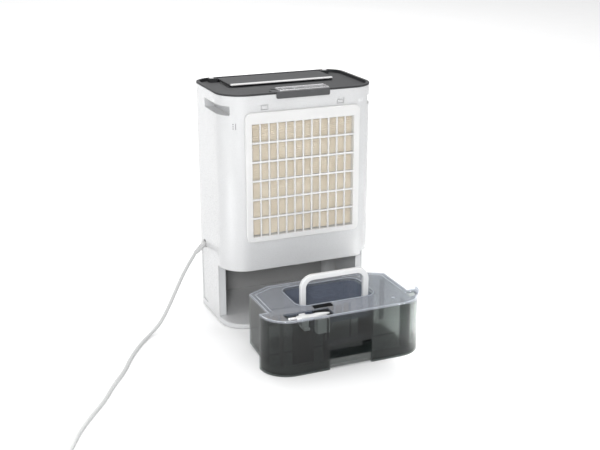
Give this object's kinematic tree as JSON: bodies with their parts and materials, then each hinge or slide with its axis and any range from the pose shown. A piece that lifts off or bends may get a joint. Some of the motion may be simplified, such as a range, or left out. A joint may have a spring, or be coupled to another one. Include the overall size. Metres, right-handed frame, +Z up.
{
  "type": "dehumidifier",
  "caption": "Desiccant dehumidifier with a gridded filter face, a top outlet flap, and a clear smoky water tank drawn out in front with its carrying handle up.",
  "frame": {"origin": "on the floor, under the middle of the casing and the drawn-out tank together", "axes": "+Z up, +Y from the filter face to the back, +X to the right of a person facing the filter"},
  "size_m": [0.7906, 0.7333, 0.5024],
  "materials": {
    "white_plastic": "satin",
    "white_gloss": "gloss",
    "dark_plastic": "satin",
    "smoke_plastic": "gloss",
    "silver_trim": "polished",
    "steel": "brushed",
    "light_grey": "satin",
    "display_gloss": "gloss",
    "circuit_board": "matte",
    "filter_media": "matte",
    "zeolite": "matte",
    "inner_plastic": "matte",
    "motor_steel": "satin",
    "heater_wire": "dull",
    "rubber": "matte",
    "cord_white": "satin"
  },
  "bodies": {
    "unit": {"base_plate": "white_plastic", "rear_shell": "white_plastic", "front_cover": "white_plastic", "filter_latches": "white_plastic", "grip_cup_left": "white_plastic", "grip_cup_right": "white_plastic", "bay_side_left": "white_plastic", "bay_side_right": "white_plastic", "bay_back": "white_plastic", "top_panel": "dark_plastic", "control_fascia": "dark_plastic", "display_bezel": "silver_trim", "rotor_axle": "steel", "shell_screws": "steel", "heater_box": "steel", "flap_pin_caps": "light_grey", "display_window": "display_gloss", "control_board": "circuit_board", "power_board": "circuit_board", "rotor_frame": "inner_plastic", "machine_floor": "inner_plastic", "fan_bulkhead": "inner_plastic", "fan_casing": "inner_plastic", "condenser": "inner_plastic", "drip_tray": "inner_plastic", "tank_switch": "inner_plastic", "rotor_motor": "motor_steel", "fan_motor": "motor_steel", "heater_element": "heater_wire", "rubber_feet": "rubber", "strain_relief": "cord_white", "power_cord": "cord_white", "cord_coil": "cord_white", "plug": "cord_white"},
    "flap": {"outlet_flap": "dark_plastic", "flap_strip": "silver_trim", "flap_pins": "steel"},
    "button_power_body": {"button_power": "dark_plastic"},
    "button_mode_body": {"button_mode": "dark_plastic"},
    "button_timer_body": {"button_timer": "dark_plastic"},
    "button_swing_body": {"button_swing": "dark_plastic"},
    "filter": {"filter_frame": "white_plastic", "filter_pack": "filter_media"},
    "tank": {"tank_shell": "smoke_plastic", "handle_well": "smoke_plastic", "float_bracket": "white_gloss", "float_pin": "steel"},
    "lid": {"tank_lid": "smoke_plastic"},
    "handle": {"tank_handle": "white_gloss"},
    "float": {"float_lever": "white_gloss", "float_magnet": "silver_trim", "float_block": "white_gloss"},
    "rotor": {"zeolite_rotor": "zeolite", "rotor_hub": "inner_plastic", "rotor_rim": "inner_plastic"},
    "pinion": {"drive_pinion": "inner_plastic", "pinion_shaft": "steel"},
    "fan": {"impeller": "inner_plastic", "fan_shaft": "steel"}
  },
  "joints": [
    {"name": "tank_slide", "type": "slide", "parent": "unit", "child": "tank", "axis": [0, 0.9982, 0.0603], "range_m": [0, 0.2404]},
    {"name": "handle_drop", "type": "slide", "parent": "tank", "child": "handle", "axis": [0, 0, -1], "range_m": [0, 0.078]},
    {"name": "lid_lift", "type": "slide", "parent": "tank", "child": "lid", "axis": [0, 0, -1], "range_m": [-0.06, 0]},
    {"name": "float_rise", "type": "hinge", "parent": "tank", "child": "float", "pos_m": [-0.092, -0.2035, 0.108], "axis": [0, 1, 0], "range_deg": [-9, 0]},
    {"name": "flap_swing", "type": "hinge", "parent": "unit", "child": "flap", "pos_m": [0, 0.204, 0.498], "axis": [-1, 0, 0], "range_deg": [0, 75]},
    {"name": "filter_tilt", "type": "hinge", "parent": "unit", "child": "filter", "pos_m": [0, 0.0157, 0.1925], "axis": [1, 0, 0], "range_deg": [0, 30]},
    {"name": "press_power", "type": "slide", "parent": "unit", "child": "button_power_body", "axis": [0, 0, -1], "range_m": [0, 0.0008], "stiffness_N_per_m": 400},
    {"name": "press_mode", "type": "slide", "parent": "unit", "child": "button_mode_body", "axis": [0, 0, -1], "range_m": [0, 0.0008], "stiffness_N_per_m": 400},
    {"name": "press_timer", "type": "slide", "parent": "unit", "child": "button_timer_body", "axis": [0, 0, -1], "range_m": [0, 0.0008], "stiffness_N_per_m": 400},
    {"name": "press_swing", "type": "slide", "parent": "unit", "child": "button_swing_body", "axis": [0, 0, -1], "range_m": [0, 0.0008], "stiffness_N_per_m": 400},
    {"name": "rotor_spin", "type": "hinge", "parent": "unit", "child": "rotor", "pos_m": [-0.012, 0.078, 0.32], "axis": [0, 1, 0], "continuous": true},
    {"name": "pinion_spin", "type": "hinge", "parent": "unit", "child": "pinion", "pos_m": [0.0912, 0.078, 0.2477], "axis": [0, 1, 0], "continuous": true},
    {"name": "fan_spin", "type": "hinge", "parent": "unit", "child": "fan", "pos_m": [0, 0.156, 0.318], "axis": [0, 1, 0], "continuous": true}
  ],
  "couplings": [
    {"joint": "handle_drop", "follows": "tank_slide", "ratio": 0.32358},
    {"joint": "pinion_spin", "follows": "rotor_spin", "ratio": -5}
  ]
}
